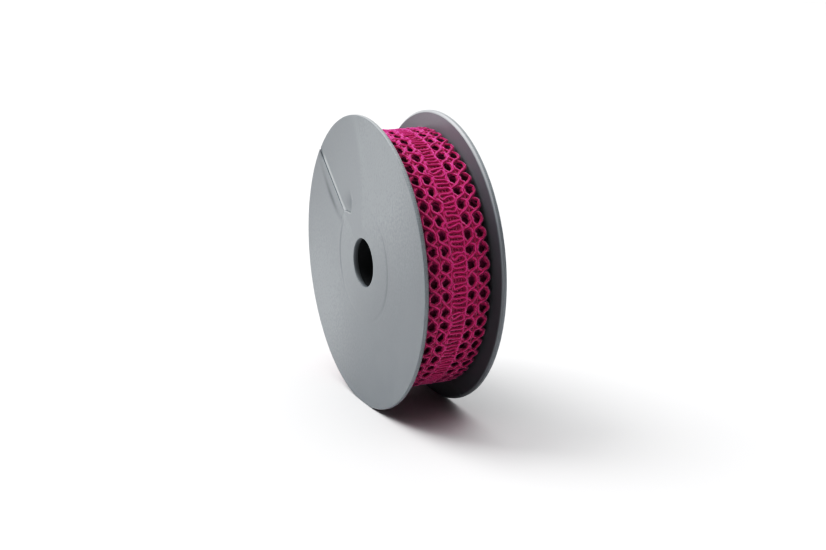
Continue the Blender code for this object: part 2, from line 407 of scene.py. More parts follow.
class ReelSettings(bpy.types.PropertyGroup):
    flange_radius: length_prop("Flange radius", "Radius of both flanges", round(CAD_DIAMETER / 2, 4))
    bore_radius: length_prop("Bore radius", "Radius of the bore", 0.00625)
    flange_thickness: length_prop("Flange thickness", "Thickness of a flange", 0.0013)
    dish_depth: length_prop("Dish", "How far the hub's face lies below the rim", 0.0005)
    rim_rounding: length_prop("Rim rounding", "Rounding of the outer rim edge", 0.0003)
    bevel_width: length_prop("Inner bevel width", "Width of the bevel round the rim's inner edge", 0.0006)
    bevel_depth: length_prop("Inner bevel depth", "Depth of that bevel", 0.00045)
    slit_width: length_prop("Slit width", "Width of the thread-catch slit", 0.00003)
    # The whitened line beside the slit is a painted highlight of its lit edge
    slit_highlight_width: length_prop("Cut width", "Width of the whitened line beside the slit", 0.0010)
    tongue_depth: length_prop("Tongue depth", "How far the slit's tongue is bent inwards at the rim", 0.00010)
    lip_height: length_prop("Lip height", "How far the slit's lip stands out", 0.00014)
    colour: colour_prop("Plastic", "Colour of the moulded plastic", (0.180, 0.194, 0.206))
    # This paler colour serves both the mould's grain and the painted light on the faces, rims and inner sides
    pale_grain_and_painted_light: colour_prop("Bloom", "Paler colour where the satin face catches light", (0.270, 0.289, 0.303))
    # This darker colour is painted shade in the creases, the turned line, the tongue's tip, the rim's notch
    # and on the inner sides
    crease: colour_prop("Crease", "Darker colour in the shallow creases of the face", (0.085, 0.094, 0.104))
    # This colour is the painted highlight along the slit's edges and on the inner bevels
    painted_highlight_colour: colour_prop("Cut", "Whitened colour along the cut edges of the slit", (0.46, 0.483, 0.497))
    # The near-black colour inside the bore is painted shade of the deep bore
    bore_shade_colour: colour_prop("Hub", "Colour inside the bore", (0.016, 0.018, 0.020))


class LaceSettings(bpy.types.PropertyGroup):
    outer_radius: length_prop("Outer radius", "Radius over the yarn tops at the lace's end", 0.0337)
    layer: length_prop("Layer", "Thickness of one turn of lace", 0.0009)
    eyelets: IntProperty(name="Eyelets", description="Eyelets in the outer turn", default=56)
    end_angle: FloatProperty(
        name="End", description="Where the lace ends, in degrees round the axis", default=302.34
    )
    twist: length_prop("Twist", "Length of one twist of the yarn", 0.0017)
    # The ridge colour is a painted highlight along the yarn's top, and the body colour is painted shade at
    # its sides and in its grooves
    ridge: colour_prop("Yarn ridge", "Colour along the top of the yarn", (0.82, 0.055, 0.370))
    shade: colour_prop("Yarn body", "Deeper colour at its sides and in its grooves", (0.46, 0.001, 0.135))


class StageSettings(bpy.types.PropertyGroup):
    key_power: FloatProperty(
        name="Key light", description="Power of the soft light behind the reel", default=155.0, unit="POWER"
    )
    key_size: length_prop("Key size", "Side of the soft light", 2.4)
    key_distance: length_prop("Key distance", "From the reel to the soft light", 4.0)
    sky: FloatProperty(
        name="Overhead", description="Brightness of the white surroundings straight above", default=2.5
    )
    horizon: FloatProperty(
        name="Horizon", description="Brightness of the surroundings at the level of the reel", default=0.02
    )
    backdrop: FloatProperty(
        name="Backdrop", description="Brightness of the white backdrop behind the reel", default=1.8
    )
    floor_colour: colour_prop("Floor", "Colour of the floor", (0.66, 0.66, 0.665))


def round_axis(x, radius, degrees):
    """Points at these places along the axis, radii and angles, never below the floor."""
    turn = np.radians(degrees)
    height = np.maximum(AXIS_HEIGHT + radius * np.sin(turn), 0.0)
    return np.stack(np.broadcast_arrays(x, radius * np.cos(turn), height), axis=-1)


def smooth_step(low, high, value):
    share = np.clip((value - low) / (high - low), 0.0, 1.0)
    return share * share * (3.0 - 2.0 * share)


def between(first_edge, second_edge, value):
    """1 between two soft edges and 0 outside them. Each edge is given from where it is 0 to where it is 1."""
    return smooth_step(*first_edge, value) * smooth_step(*second_edge, value)


def bell(away, reach, power=2):
    """1 in the middle, fading to 0 past this reach to either side."""
    return np.exp(-((away / reach) ** power))


def angle_past(start, degrees):
    """How far an angle lies past a start, from -180 up to 180 degrees."""
    return (degrees - start + 180.0) % 360.0 - 180.0


def in_spot(spot, radius, degrees):
    """How strong a soft spot is at these radii and angles."""
    beside = bell(angle_past(spot.angle, degrees), spot.spread)
    return spot.strength * beside * bell(radius - spot.radius, spot.reach)


class Graph:
    """Adds linked nodes to a material or a node group."""

    def __init__(self, tree):
        self.tree = tree

    def add(self, kind, settings=None, **inputs):
        node = self.tree.nodes.new(kind)
        for name, value in (settings or {}).items():
            setattr(node, name, value)
        for name, value in inputs.items():
            self.feed(node, name, value)
        return node

    def feed(self, node, key, value):
        """Links an output to a node's input of this name or number, or sets the input's own value."""
        socket = node.inputs[key]
        if isinstance(value, bpy.types.NodeSocket):
            self.tree.links.new(value, socket)
        else:
            socket.default_value = (*value, 1.0) if socket.type == "RGBA" else value

    def math(self, operation, *values):
        node = self.add("ShaderNodeMath", {"operation": operation})
        for place, value in enumerate(values):
            self.feed(node, place, value)
        return node.outputs[0]

    def mix(self, factor, first, second):
        """The first colour where the factor is 0, the second where it is 1."""
        node = self.add("ShaderNodeMix", {"data_type": "RGBA"})
        for place, value in ((0, factor), (6, first), (7, second)):
            self.feed(node, place, value)
        return node.outputs[2]

    def noise(self, place, per_metre, detail):
        node = self.add("ShaderNodeTexNoise", Vector=place, Scale=per_metre, Detail=detail)
        return node.outputs[0]

    def field(self, name):
        """What the mesh holds under this name for each of its points."""
        return self.add("ShaderNodeAttribute", {"attribute_name": name}).outputs["Fac"]


def effect_group(name, inputs, outputs):
    """A new node group with named number and vector inputs, its graph, its input node and its output node."""
    tree = bpy.data.node_groups.new(name, "ShaderNodeTree")
    for label, kind, default in inputs:
        socket = tree.interface.new_socket(label, in_out="INPUT", socket_type=kind)
        if default is not None:
            socket.default_value = default
    for label in outputs:
        tree.interface.new_socket(label, in_out="OUTPUT", socket_type="NodeSocketFloat")
    graph = Graph(tree)
    return tree, graph, graph.add("NodeGroupInput").outputs, graph.add("NodeGroupOutput")


def mould_grain_group():
    """Fine grain that a mould leaves on plastic, and the slow clouds of shade that go with it."""
    inputs = (
        ("Place", "NodeSocketVector", None),
        ("Amount", "NodeSocketFloat", 1.0),
        ("Grain per metre", "NodeSocketFloat", 1500.0),
        ("Cloud per metre", "NodeSocketFloat", 90.0),
    )
    tree, graph, given, result = effect_group("mould_grain", inputs, ("Height", "Cloud"))
    fine = graph.noise(given["Place"], given["Grain per metre"], 2.0)
    graph.feed(result, "Height", graph.math("MULTIPLY", fine, given["Amount"]))
    graph.feed(result, "Cloud", graph.noise(given["Place"], given["Cloud per metre"], 3.0))
    return tree


def yarn_fuzz_group():
    """Fine fibres of dyed yarn, the grooves between its plies, which take painted shade, and the slow change
    of its dye.
    """
    inputs = (
        ("Place", "NodeSocketVector", None),
        ("Along", "NodeSocketVector", None),
        ("Fibres per twist", "NodeSocketFloat", 9.0),
        ("Fuzz per metre", "NodeSocketFloat", 6500.0),
        ("Dye per metre", "NodeSocketFloat", 420.0),
    )
    tree, graph, given, result = effect_group("yarn_fuzz", inputs, ("Height", "Groove", "Dye"))
    parts = graph.add("ShaderNodeSeparateXYZ", Vector=given["Along"])
    phase = graph.math("SUBTRACT", graph.math("MULTIPLY", parts.outputs["Y"], PLIES), parts.outputs["X"])
    ply = graph.math("COSINE", graph.math("MULTIPLY", phase, tau))
    lie = graph.math("MULTIPLY", phase, given["Fibres per twist"])
    fibre = graph.math("SINE", graph.math("MULTIPLY", lie, tau))
    fuzz = graph.noise(given["Place"], given["Fuzz per metre"], 3.0)
    graph.feed(result, "Height", graph.math("ADD", graph.math("MULTIPLY", fibre, FIBRE_SHARE), fuzz))
    graph.feed(result, "Groove", graph.math("MULTIPLY_ADD", ply, -0.5, 0.5))
    graph.feed(result, "Dye", graph.noise(given["Place"], given["Dye per metre"], 2.0))
    return tree


def kept_group(name, build):
    return bpy.data.node_groups.get(name) or build()


def new_material(name):
    """A fresh material, its graph and its Principled shader."""
    material = bpy.data.materials.new(name)
    material.use_nodes = True
    tree = material.node_tree
    return material, Graph(tree), tree.nodes["Principled BSDF"]


def plastic_material(name, reel, colour, look, with_ribs):
    """Satin moulded plastic. The fields of its mesh say where the mould was rough, where painted light makes
    the plastic paler and painted shade makes it darker, where painted highlights lie along the slit and the
    inner bevels, and where the ribbed rim is."""
    material, graph, shader = new_material(name)
    grain = graph.add("ShaderNodeGroup", {"node_tree": kept_group("mould_grain", mould_grain_group)})
    amount = graph.math("ADD", graph.field("grain"), LEAST_GRAIN)
    graph.feed(grain, "Place", graph.add("ShaderNodeTexCoord").outputs["Object"])
    graph.feed(grain, "Amount", amount)
    cloud, height = grain.outputs["Cloud"], grain.outputs["Height"]
    clouds = graph.math("MULTIPLY", graph.math("SUBTRACT", cloud, 0.5), CLOUD_PALING)
    level = graph.math("MULTIPLY_ADD", amount, SPECK_LEVEL_SHARE, SPECK_LEVEL)
    specks = graph.math("SUBTRACT", graph.math("MULTIPLY", height, SPECK_PALING), level)
    # The grain's clouds and specks and the painted light pale the plastic, painted shade darkens it, and
    # painted highlights whiten it
    paler = graph.math("ADD", graph.math("ADD", clouds, specks), graph.field("pale"))
    base = graph.mix(paler, colour, reel.pale_grain_and_painted_light)
    base = graph.mix(graph.field("crease"), base, reel.crease)
    graph.feed(shader, "Base Color", graph.mix(graph.field("cut"), base, reel.painted_highlight_colour))
    smoothest = look.roughness - CLOUD_ROUGHENING / 2
    graph.feed(shader, "Roughness", graph.math("MULTIPLY_ADD", cloud, CLOUD_ROUGHENING, smoothest))
    if with_ribs:
        parts = graph.add("ShaderNodeSeparateXYZ", Vector=graph.add("ShaderNodeUVMap").outputs["UV"])
        wave = graph.math("SINE", graph.math("MULTIPLY", parts.outputs["X"], RIM_RIBS * tau))
        ribs = graph.math("MULTIPLY", wave, graph.field("rim"))
        height = graph.math("ADD", height, graph.math("MULTIPLY", ribs, RIB_SHARE))
    bump = graph.add("ShaderNodeBump", Height=height, Distance=look.grain_depth, Strength=1.0)
    graph.feed(shader, "Normal", bump.outputs["Normal"])
    return material


def yarn_material(name, lace, look):
    """Soft dyed yarn: two plies with painted shade in their grooves, a painted highlight along each thread's
    ridge over a body colour of painted shade, fine fibres and a little sheen. The turns that lie deeper in
    the roll have a darker tone as painted shade."""
    material, graph, shader = new_material(name)
    fuzz = graph.add("ShaderNodeGroup", {"node_tree": kept_group("yarn_fuzz", yarn_fuzz_group)})
    graph.feed(fuzz, "Place", graph.add("ShaderNodeTexCoord").outputs["Object"])
    graph.feed(fuzz, "Along", graph.add("ShaderNodeUVMap").outputs["UV"])
    dye = fuzz.outputs["Dye"]
    # Painted shade in the ply grooves; the ridge field mixes the painted highlight over the body's painted
    # shade
    grooves = graph.math("MULTIPLY", fuzz.outputs["Groove"], GROOVE_DARKENING)
    dyed = graph.math("MULTIPLY", graph.math("SUBTRACT", dye, DYE_MIDDLE), DYE_DARKENING)
    ridge, shade = [tuple(value * look.tone for value in given) for given in (lace.ridge, lace.shade)]
    paler = graph.math("SUBTRACT", graph.field("ridge"), graph.math("ADD", grooves, dyed))
    bump = graph.add("ShaderNodeBump", Height=fuzz.outputs["Height"], Distance=FIBRE_DEPTH, Strength=1.0)
    settings = {
        "Base Color": graph.mix(paler, shade, ridge),
        "Roughness": graph.math("MULTIPLY_ADD", dye, DYE_ROUGHENING, YARN_ROUGHNESS),
        "Specular IOR Level": 0.5,
        "Sheen Weight": look.sheen,
        "Sheen Roughness": SHEEN_ROUGHNESS,
        "Sheen Tint": SHEEN_TINT,
        "Normal": bump.outputs["Normal"],
    }
    for label, value in settings.items():
        graph.feed(shader, label, value)
    return material


def mesh_of(name, points, faces, corner_uvs):
    mesh = bpy.data.meshes.new(name)
    mesh.from_pydata(points.tolist(), [], faces)
    layer = mesh.uv_layers.new(name="UVMap")
    layer.data.foreach_set("uv", np.asarray(corner_uvs, np.float32).ravel())
    mesh.shade_smooth()
    return mesh


def set_field(mesh, label, values):
    attribute = mesh.attributes.new(label, "FLOAT", "POINT")
    attribute.data.foreach_set("value", values.astype(np.float32))


def add_piece(name, mesh, material, node):
    """Links a finished mesh as a piece that rides on the reel and stands for a node of the fixed model."""
    mesh.materials.append(material)
    piece = bpy.data.objects.new(name, mesh)
    bpy.context.scene.collection.objects.link(piece)
    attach(piece, "root")
    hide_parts(node)
    return piece


class FlangeShape:
    """A moulded flange as rings of cells. The cells of the slit and of the arc at its foot are open."""

    def __init__(self, reel, outward, slit):
        self.reel = reel
        self.outward = outward
        self.slit = slit
        self.radii = self.ring_radii()
        self.offsets = self.column_offsets()

    def ring_radii(self):
        """Even rings, with closer ones where the section bends."""
        reel = self.reel
        outer = reel.flange_radius
        close = [reel.bore_radius + step * BORE_ROUNDING / 3 for step in range(4)]
        close += [FACE_LINE_RADIUS + FACE_LINE_HALF_WIDTH * step for step in (-2, -1, 0, 1, 2)]
        close += [SLIT_FOOT_RADIUS + ARC_HALF_WIDTH * step for step in (-11, -6, -1, 1, 6)]
        bevel = outer - reel.bevel_width
        close += [bevel + (reel.bevel_width - reel.rim_rounding) * step / 4 for step in range(5)]
        close += [outer - reel.rim_rounding * (1 - np.sin(radians(turn))) for turn in (25, 50, 70, 90)]
        even = np.arange(reel.bore_radius + 0.6 * MM, bevel - 0.3 * MM, RING_STEP)
        kept = [r for r in even if min(abs(r - near) for near in close) > LEAST_RING_GAP]
        return np.unique(np.round(np.array(sorted(close + kept)), 7))

    def column_offsets(self):
        """Even columns in degrees past the slit, with closer ones from the lip's ramp to the arc's end."""
        beside = [-NEXT_COLUMN, -EDGE_COLUMN, EDGE_COLUMN, NEXT_COLUMN, 1.1, ARC_SPAN]
        near = np.arange(*RAMP_COLUMNS).tolist() + np.arange(*ARC_COLUMNS).tolist()
        even = np.arange(-180.0, 180.0, COLUMN_STEP)
        close = beside + near
        kept = [turn for turn in even if min(abs(turn - placed) for placed in close) > LEAST_COLUMN_GAP]
        return np.array(sorted(close + kept))

    def share_in(self, radius):
        """0 at the rim, 1 from the slit's foot inwards."""
        outer = self.reel.flange_radius
        return np.clip((outer - radius) / (outer - SLIT_FOOT_RADIUS), 0.0, 1.0)

    def sag(self, radius, offset):
        """How far the rings near the slit's foot sag towards the bore along the arc."""
        along = np.clip(offset / ARC_SPAN, 0.0, 1.0)
        below = smooth_step(ARC_SAG_STARTS, SLIT_FOOT_RADIUS - ARC_HALF_WIDTH, radius)
        above = 1.0 - smooth_step(SLIT_FOOT_RADIUS + ARC_HALF_WIDTH, ARC_SAG_ENDS, radius)
        return ARC_SAG * np.sin(np.pi * along**ARC_SKEW) * np.minimum(below, above)

    def bend(self, radius, offset):
        """How far the tongue is bent inwards here, or its lip stands outwards."""
        share = self.share_in(radius)
        reach = np.sqrt(1.0 - share)
        past = 1.0 - offset / (TONGUE_SPAN + TONGUE_SPREAD * share)
        eased = (past + TONGUE_SOFTNESS) ** 2 / (4 * TONGUE_SOFTNESS)
        fall = np.where(np.abs(past) < TONGUE_SOFTNESS, eased, np.maximum(past, 0.0))
        tongue = np.where(offset > 0.0, self.reel.tongue_depth * reach * fall, 0.0)
        tip = bell(radius - SLIT_FOOT_RADIUS, TIP_REACH) * (radius > SLIT_FOOT_RADIUS)
        rise = smooth_step(-RAMP_HALF_WIDTH, RAMP_HALF_WIDTH, self.past_ramp(radius, offset))
        ends = np.minimum(reach * LIP_RISE_AT_FOOT, 1.0) * np.minimum(share * LIP_RISE_AT_RIM, 1.0)
        lip = self.reel.lip_height * rise * (offset < 0.0) * ends
        return tongue + TIP_DEPTH * tip * between(*TIP_PART, offset) - lip

    def past_ramp(self, radius, offset):
        """How far a point lies past the middle of the lip's ramp, towards the slit."""
        share = self.share_in(radius)
        ramp = RAMP_AT_RIM + RAMP_SPREAD * share - RAMP_CURVE * share**2
        return radius * np.radians(offset + ramp)

    def face_depths(self, ring, radius, offset):
        """Depths of the outside and of the inside below the flange's outermost plane. The bends follow the
        rings, and the dish and the turned lines follow the true radius."""
        reel = self.reel
        middle = reel.dish_depth * self.share_in(radius) + self.bend(ring, offset)
        outer = reel.flange_radius
        in_rim = np.clip((radius - (outer - reel.rim_rounding)) / reel.rim_rounding, 0.0, 1.0)
        rounding = reel.rim_rounding * (1.0 - np.sqrt(1.0 - in_rim**2))
        in_bore = np.clip((reel.bore_radius + BORE_ROUNDING - radius) / BORE_ROUNDING, 0.0, 1.0)
        rounding = rounding + BORE_ROUNDING * (1.0 - np.sqrt(1.0 - in_bore**2))
        in_bevel = np.clip((radius - (outer - reel.bevel_width)) / reel.bevel_width, 0.0, 1.0)
        outside = middle + rounding + FACE_LINE_DEPTH * self.on_face_line(radius, offset)
        inside = middle + reel.flange_thickness - reel.bevel_depth * in_bevel
        return outside, inside

    def turned(self, radius, offset):
        """The angle of a column at each radius: the slit is narrow, and opens in a notch at the rim."""
        outer = self.reel.flange_radius
        notch = smooth_step(outer - NOTCH_DEPTH, outer, radius)
        half_slit = self.reel.slit_width / 2 + NOTCH_HALF_WIDTH * notch
        side = np.sign(offset)
        edge = np.degrees(half_slit / radius) * side
        moved = NEXT_COLUMN_MOVE * (NEXT_COLUMN * side + edge)
        at_edge = np.isclose(np.abs(offset), EDGE_COLUMN)
        moves = np.isclose(np.abs(offset), NEXT_COLUMN) & (np.abs(edge) > NEXT_COLUMN_STAYS)
        placed = np.where(at_edge, edge, np.where(moves, moved, offset))
        return self.slit.angle + self.slit.turn * placed

    def is_open(self, band, column):
        start, end = self.offsets[column], self.offsets[(column + 1) % len(self.offsets)]
        if end < start:
            return False
        middle = (start + end) / 2
        radius = (self.radii[band] + self.radii[band + 1]) / 2
        if abs(middle) < EDGE_COLUMN:
            return radius > SLIT_FOOT_RADIUS - ARC_HALF_WIDTH
        return 0.0 < middle < ARC_SPAN and abs(radius - SLIT_FOOT_RADIUS) < ARC_HALF_WIDTH

    def grain(self, radius, angle, offset):
        """How strongly the mould's grain shows: none on the pressed tongue, most in the named spots."""
        spots = np.maximum.reduce([in_spot(spot, radius, angle) for spot in GRAIN_SPOTS])
        return spots * (1.0 - between(*PRESSED_PART, offset))

    def on_face_line(self, radius, offset):
        """1 along the turned line of the face, and 0 away from it and near the arc of the slit."""
        near = bell(radius - FACE_LINE_RADIUS, FACE_LINE_HALF_WIDTH)
        return near * (1.0 - between(*FACE_LINE_GAP, offset))

    def painted_slit_highlight(self, ring, offset):
        """1 along the painted highlight of the slit's lit edge, less on the bore's side of its arc, and 0
        elsewhere.
        """
        reel = self.reel
        beside = [share * reel.slit_highlight_width for share in SLIT_HIGHLIGHT_FADES_BESIDE]
        below_rim = [reel.flange_radius - depth for depth in SLIT_HIGHLIGHT_FADES_BELOW_RIM]
        on_slit = smooth_step(*beside, ring * np.radians(offset)) * smooth_step(*below_rim, ring)
        on_slit = on_slit * (ring > SLIT_FOOT_RADIUS - 1.5 * ARC_HALF_WIDTH)
        below_arc = (ring < SLIT_FOOT_RADIUS) & (ring > SLIT_FOOT_RADIUS - ARC_HIGHLIGHT_WIDTH)
        on_arc = ARC_HIGHLIGHT_STRENGTH * below_arc * smooth_step(*ARC_HIGHLIGHT_FADES, offset)
        return np.maximum(on_slit, on_arc) * (offset > 0.0)

    def painted_shade_parts(self, ring, radius, angle, offset):
        """How dark the painted shade is in the soft creases: the lip's ramp, the turned line, the tip and the
        rim's notch.
        """
        strength = CREASE_DARKNESS * (1.0 + bell(ring - CREASE_DARKEST, CREASE_REACH))
        strength = strength * smooth_step(*CREASE_COMES_IN, ring) * (offset < 0.0)
        ramp = strength * bell(self.past_ramp(ring, offset), CREASE_HALF_WIDTH)
        line = np.maximum.reduce(
            [arc.strength * bell(angle_past(arc.angle, angle), arc.half_span, 4) for arc in FACE_LINE_ARCS]
        )
        tip = in_spot(TIP_SHADE, ring, offset) * (ring > SLIT_FOOT_RADIUS)
        below_rim = [self.reel.flange_radius - depth for depth in NOTCH_SHADE_DEPTHS]
        notch = NOTCH_DARKNESS * smooth_step(*below_rim, ring) * bell(offset, NOTCH_SHADE_SPREAD)
        return np.maximum.reduce([ramp, line * self.on_face_line(radius, offset), tip, notch])

    def painted_light_parts(self, ring, radius, angle, offset):
        """How much painted light pales the satin: a painted highlight along a broad band across the face, on
        the fold of the tongue, along the streak at the slit's foot, and on the rim."""
        reel = self.reel
        turn = np.radians(angle)
        along = radius * (BAND_DIRECTION[0] * np.cos(turn) + BAND_DIRECTION[1] * np.sin(turn)) - BAND_PLACE
        band = bell(along, np.where(along > 0.0, BAND_FADES_UP, BAND_FADES_DOWN))
        past_fold = offset - TONGUE_SPAN - TONGUE_SPREAD * self.share_in(ring)
        fold = bell(past_fold, FOLD_SPREAD) * smooth_step(*FOLD_COMES_IN, ring)
        face = BAND_PALENESS * band + FOLD_PALENESS * fold + in_spot(FOOT_STREAK, ring, offset)
        rim = smooth_step(reel.flange_radius - reel.bevel_width, reel.flange_radius, ring)
        return face * (1.0 - rim) + RIM_PALENESS * rim

    def fields(self, ring, radius, angle, offset):
        """What the plastic's look needs to know for each point, on the outside and on the inside."""
        reel = self.reel
        bevel = smooth_step(-reel.bevel_width, -0.5 * reel.bevel_width, ring - reel.flange_radius)
        bevel = bevel * (ring < reel.flange_radius - RIM_BAND)
        # The inner sides get painted light round one angle and painted shade away from it, the inner bevels a
        # painted highlight, and the inner rim painted light
        lit = bell(angle_past(INSIDE_PALEST, angle), INSIDE_SPREAD)
        rim = (radius > reel.flange_radius - RIM_BAND).astype(float)
        bevel_highlight = bevel * (BEVEL_HIGHLIGHT + BEVEL_HIGHLIGHT_ADDED * lit)
        shaded = (1.0 - lit) * (1.0 - bevel) * (1.0 - rim)
        paled = lit * (1.0 - rim) + INNER_RIM_PALENESS * rim
        # Beside the grain and the rim, these fields carry the painted highlights of the slit and bevels, the
        # painted shade, and the painted light
        return {
            "grain": (self.grain(radius, angle, offset), np.zeros_like(ring)),
            "cut": (self.painted_slit_highlight(ring, offset), bevel_highlight),
            "crease": (self.painted_shade_parts(ring, radius, angle, offset), shaded),
            "pale": (self.painted_light_parts(ring, radius, angle, offset), paled),
            "rim": (rim, rim),
        }

    def cell_corners(self):
        """The corners of all faces, as (ring, column, on the inside). A column may be one past the last."""
        bands, columns = len(self.radii) - 1, len(self.offsets)
        faces = []
        for column in range(columns):
            after, before = column + 1, (column - 1) % columns
            for band in range(bands):
                if self.is_open(band, column):
                    continue
                cell = ((band, column), (band + 1, column), (band + 1, after), (band, after))
                faces.append([(*key, 0) for key in cell])
                faces.append([(*key, 1) for key in reversed(cell)])
                walls = []
                if band == 0 or self.is_open(band - 1, column):
                    walls.append((cell[3], cell[0]))
                if band == bands - 1 or self.is_open(band + 1, column):
                    walls.append((cell[1], cell[2]))
                if self.is_open(band, before):
                    walls.append((cell[0], cell[1]))
                if self.is_open(band, after % columns):
                    walls.append((cell[2], cell[3]))
                for first, second in walls:
                    faces.append([(*second, 0), (*first, 0), (*first, 1), (*second, 1)])
        return faces

    def mesh(self, name):
        ring, offset = np.meshgrid(self.radii, self.offsets, indexing="ij")
        radius = ring - self.sag(ring, offset)
        angle = self.turned(radius, offset)
        sides = [
            round_axis(self.outward * (REEL_HALF_WIDTH - depth), radius, angle).reshape(-1, 3)
            for depth in self.face_depths(ring, radius, offset)
        ]
        bands, columns = len(self.radii) - 1, len(self.offsets)
        keys = np.array(self.cell_corners())
        turn = keys[..., 1]
        faces = keys[..., 0] * columns + turn % columns + ring.size * keys[..., 2]
        corners = np.stack([turn / columns, keys[..., 0] / bands], axis=-1)
        made = mesh_of(name, np.concatenate(sides), faces.tolist(), corners)
        for label, (outside, inside) in self.fields(ring, radius, angle, offset).items():
            set_field(made, label, np.concatenate([outside.ravel(), inside.ravel()]))
        remove_loose_points(made)
        made.set_sharp_from_angle(angle=radians(30.0))
        return made


def remove_loose_points(mesh):
    """Takes away the points left over where the slit is open."""
    shape = bmesh.new()
    shape.from_mesh(mesh)
    loose = [vert for vert in shape.verts if not vert.link_faces]
    bmesh.ops.delete(shape, geom=loose, context="VERTS")
    bmesh.ops.recalc_face_normals(shape, faces=shape.faces)
    shape.to_mesh(mesh)
    shape.free()


def eased_line(points, per_segment):
    """A smooth curve through the rows of points, with this many steps from one row to the next."""
    padded = np.concatenate([points[:1] * 2 - points[1:2], points, points[-1:] * 2 - points[-2:-1]])
    a, b, c, d = (padded[start : len(padded) - 3 + start][:, None, :] for start in range(4))
    share = (np.arange(per_segment) / per_segment)[None, :, None]
    curve = 0.5 * (
        2 * b + (c - a) * share + (2 * a - 5 * b + 4 * c - d) * share**2 + (3 * b - a - 3 * c + d) * share**3
    )
    return np.concatenate([curve.reshape(-1, points.shape[1]), points[-1:]])


class LaceWinding:
    """Threads of the flat lace, in mm along, across and above it, laid on the spiral of the roll."""

    def __init__(self, lace, first_pitch, slip):
        self.lace = lace
        self.first_pitch = first_pitch
        self.end_pitch = first_pitch + lace.eyelets
        self.slip = slip

    def laid(self, flat):
        """The points of a thread on the roll, from its points on the flat lace."""
        lace = self.lace
        along, across, lift = flat.T
        count = along / NET_PITCH
        for waver in WAVERS:
            wave = np.sin(tau * count / waver.pitches + across * waver.lean)
            turn = np.cos(tau * count / waver.pitches * WAVER_HASTE - across * waver.lean)
            across = across + waver.size * wave * (1.0 - np.abs(across) / WAVER_REACH)
            along = along + waver.size * turn
        turns = along / NET_PITCH / lace.eyelets
        degrees = lace.end_angle + 360.0 * turns + self.slip * 360.0 / lace.eyelets * (turns - 1.0)
        tops_to_middle = YARN_HALF_HEIGHT + CROSSING_LIFT * MM
        radius = lace.outer_radius - tops_to_middle - lace.layer * turns + lift * MM
        return round_axis(LACE_MIDDLE_X + across * MM, radius, degrees)

    def net_threads(self, side):
        """The threads of the net on one side. Four of them swap their strand at every crossing."""
        threads = []
        rng = np.random.default_rng(HAND_SEED + self.first_pitch + side)
        for pair in NET_PAIRS:
            rows = []
            for count in range(self.first_pitch, self.end_pitch):
                strand, other = pair if count % 2 == 0 else pair[::-1]
                outwards = getattr(NET_ROWS[1], strand) < getattr(NET_ROWS[1], other)
                small_eyelet = strand == "border" and side < 0 and count % 2 == 0
                for row in NET_ROWS:
                    across = getattr(row, strand)
                    if small_eyelet:
                        across += SMALL_EYELET_PUSH * np.sin(np.pi * row.along / NET_PITCH)
                    lift = 0.0
                    if row.along == 0.0:
                        lift = CROSSING_LIFT if outwards else -CROSSING_LIFT
                    slack, slide = rng.normal(0.0, HAND_SLACK, 2)
                    rows.append((count * NET_PITCH + row.along + slide, side * (across + slack), lift))
            rows.append((self.end_pitch * NET_PITCH, side * getattr(NET_ROWS[0], pair[0]), 0.0))
            threads.append(Thread(np.array(rows), 1.0))
        places = np.arange(self.first_pitch, self.end_pitch + STRAIGHT_STEP, STRAIGHT_STEP) * NET_PITCH
        for straight in STRAIGHT_THREADS:
            rows = np.empty((len(places), 3))
            rows[:] = (0.0, side * straight.across, straight.lift)
            rows[:, 0] = places
            threads.append(Thread(rows, straight.ridge))
        return threads

    def ladder_threads(self):
        """The to-and-fro thread of the ladder, and the loose curls beside it."""
        low, high = self.first_pitch * NET_PITCH, self.end_pitch * NET_PITCH
        rows, curls = [], []
        for count in range(self.first_pitch // 2 - 1, self.end_pitch // 2):
            start = (2 * count + LADDER_START) * NET_PITCH
            for index, rung in enumerate(LADDER_RUNGS):
                way = 1 if index % 2 == 0 else -1
                for reach in (-RUNG_REACH, 0.0, RUNG_REACH):
                    sway = rung.sway * reach / RUNG_REACH
                    rows.append((start + rung.along + sway, way * reach, 0.0))
                rows.append((start + rung.bend_along, way * rung.bend_across, BEND_LIFT))
            curl = np.array(CURL_POINTS) + (start, 0.0, 0.0)
            if low < curl[0, 0] and curl[-1, 0] < high:
                curls.append(Thread(curl, 1.0))
        laid = np.array([row for row in rows if low < row[0] < high])
        return [Thread(laid, 1.0)] + curls


def thread_rings(line, run, section):
    """The points of one closed ring round each point of a line, swollen by the twist of the yarn."""
    steps = np.gradient(line, axis=0)
    steps /= np.linalg.norm(steps, axis=1, keepdims=True)
    out = (line - (0.0, 0.0, AXIS_HEIGHT)) * (0.0, 1.0, 1.0)
    out -= steps * np.sum(out * steps, axis=1, keepdims=True)
    out /= np.linalg.norm(out, axis=1, keepdims=True)
    beside = np.cross(steps, out)
    wide, tall, _ = np.array(section).T
    around = np.arange(len(section)) / len(section)
    swell = 1.0 + TWIST_SWELL * np.cos(PLIES * tau * around[None, :] - tau * run[:, None])
    swell[[0, -1]] *= END_SHARE
    across, upwards = [(swell * size * MM)[..., None] for size in (wide, tall)]
    ring = line[:, None, :] + upwards * out[:, None, :] + across * beside[:, None, :]
    ring[..., 2] = np.maximum(ring[..., 2], 0.0)
    return ring.reshape(-1, 3)


